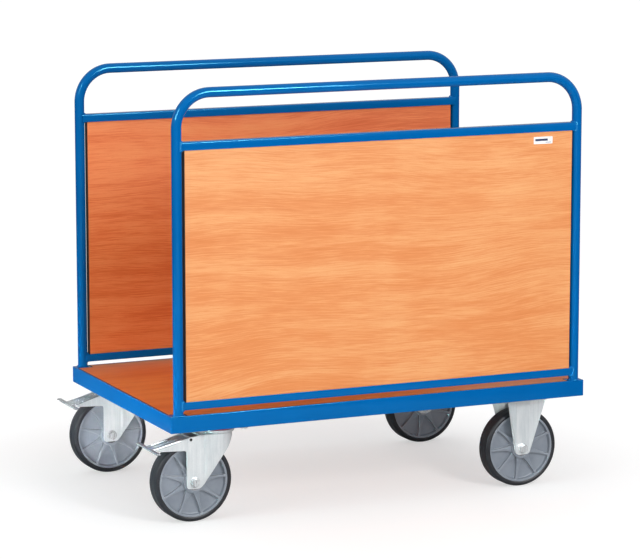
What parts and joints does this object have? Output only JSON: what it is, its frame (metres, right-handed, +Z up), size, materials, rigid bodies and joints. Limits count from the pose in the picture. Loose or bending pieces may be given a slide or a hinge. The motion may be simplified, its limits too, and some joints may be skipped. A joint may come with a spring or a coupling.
{
  "type": "platform trolley",
  "caption": "Blue steel platform trolley with wood deck, two tube-framed boarded side walls, fixed front casters and braked swivel rear casters.",
  "frame": {"origin": "on the floor, under the middle of the trolley's outline with its brake pedals", "axes": "+X along the deck towards the fixed casters (travel direction), +Y to the left wall, +Z up"},
  "size_m": [1.165, 0.724, 1.0575],
  "materials": {
    "blue_powder_coat": "satin blue powder coat with slight orange peel",
    "beech_laminate": "satin beech decor laminate with fine long grain",
    "zinc_plate": "bright zinc plating with soft cloudy lustre",
    "bearing_steel": "ground and polished steel",
    "tyre_rubber": "matt dark grey rubber",
    "hub_nylon": "matt grey glass-filled nylon",
    "seal_red": "matt dark red plastic",
    "brake_pad": "dense dark rubber",
    "label_white": "plain white film"
  },
  "bodies": {
    "chassis": {"side_rail_l": "blue_powder_coat", "side_rail_r": "blue_powder_coat", "end_rail_front": "blue_powder_coat", "end_rail_rear": "blue_powder_coat", "cross_members": "blue_powder_coat", "corner_plates": "blue_powder_coat", "deck_board": "beech_laminate", "deck_screws": "zinc_plate", "label_plate": "label_white", "caster_bolts": "zinc_plate", "caster_nuts": "zinc_plate", "fixed_axle_bolts": "zinc_plate", "fixed_axle_nuts": "zinc_plate", "tube_frame_l": "blue_powder_coat", "mid_bar_l": "blue_powder_coat", "low_bar_l": "blue_powder_coat", "panel_l": "beech_laminate", "fixed_fork_l": "zinc_plate", "fixed_sleeve_l": "bearing_steel", "swivel_plate_l": "zinc_plate", "kingpin_l": "bearing_steel", "tube_frame_r": "blue_powder_coat", "mid_bar_r": "blue_powder_coat", "low_bar_r": "blue_powder_coat", "panel_r": "beech_laminate", "fixed_fork_r": "zinc_plate", "fixed_sleeve_r": "bearing_steel", "swivel_plate_r": "zinc_plate", "kingpin_r": "bearing_steel"},
    "front_wheel_l": {"front_hub_l": "hub_nylon", "front_tyre_l": "tyre_rubber", "front_bearings_l": "bearing_steel"},
    "swivel_l": {"swivel_fork_l": "zinc_plate", "race_balls_l": "bearing_steel", "head_seal_l": "seal_red", "swivel_axle_bolt_l": "zinc_plate", "swivel_axle_nut_l": "zinc_plate", "swivel_sleeve_l": "bearing_steel", "pedal_pin_l": "zinc_plate"},
    "rear_wheel_l": {"rear_hub_l": "hub_nylon", "rear_tyre_l": "tyre_rubber", "rear_bearings_l": "bearing_steel"},
    "pedal_l": {"brake_pedal_l": "zinc_plate", "brake_shoe_l": "brake_pad"},
    "front_wheel_r": {"front_hub_r": "hub_nylon", "front_tyre_r": "tyre_rubber", "front_bearings_r": "bearing_steel"},
    "swivel_r": {"swivel_fork_r": "zinc_plate", "race_balls_r": "bearing_steel", "head_seal_r": "seal_red", "swivel_axle_bolt_r": "zinc_plate", "swivel_axle_nut_r": "zinc_plate", "swivel_sleeve_r": "bearing_steel", "pedal_pin_r": "zinc_plate"},
    "rear_wheel_r": {"rear_hub_r": "hub_nylon", "rear_tyre_r": "tyre_rubber", "rear_bearings_r": "bearing_steel"},
    "pedal_r": {"brake_pedal_r": "zinc_plate", "brake_shoe_r": "brake_pad"}
  },
  "joints": [
    {"name": "swivel_turn_l", "type": "hinge", "parent": "chassis", "child": "swivel_l", "pos_m": [-0.3985, 0.29, 0.22], "axis": [0, 0, 1], "continuous": true},
    {"name": "rear_wheel_spin_l", "type": "hinge", "parent": "swivel_l", "child": "rear_wheel_l", "pos_m": [-0.4685, 0.29, 0.1], "axis": [0, 1, 0], "continuous": true},
    {"name": "pedal_press_l", "type": "hinge", "parent": "swivel_l", "child": "pedal_l", "pos_m": [-0.4785, 0.29, 0.206], "axis": [0, -1, 0], "range_deg": [0, 8]},
    {"name": "front_wheel_spin_l", "type": "hinge", "parent": "chassis", "child": "front_wheel_l", "pos_m": [0.4305, 0.281, 0.1], "axis": [0, 1, 0], "continuous": true},
    {"name": "swivel_turn_r", "type": "hinge", "parent": "chassis", "child": "swivel_r", "pos_m": [-0.3985, -0.29, 0.22], "axis": [0, 0, 1], "continuous": true},
    {"name": "rear_wheel_spin_r", "type": "hinge", "parent": "swivel_r", "child": "rear_wheel_r", "pos_m": [-0.4685, -0.29, 0.1], "axis": [0, 1, 0], "continuous": true},
    {"name": "pedal_press_r", "type": "hinge", "parent": "swivel_r", "child": "pedal_r", "pos_m": [-0.4785, -0.29, 0.206], "axis": [0, -1, 0], "range_deg": [0, 8]},
    {"name": "front_wheel_spin_r", "type": "hinge", "parent": "chassis", "child": "front_wheel_r", "pos_m": [0.4305, -0.281, 0.1], "axis": [0, 1, 0], "continuous": true}
  ]
}
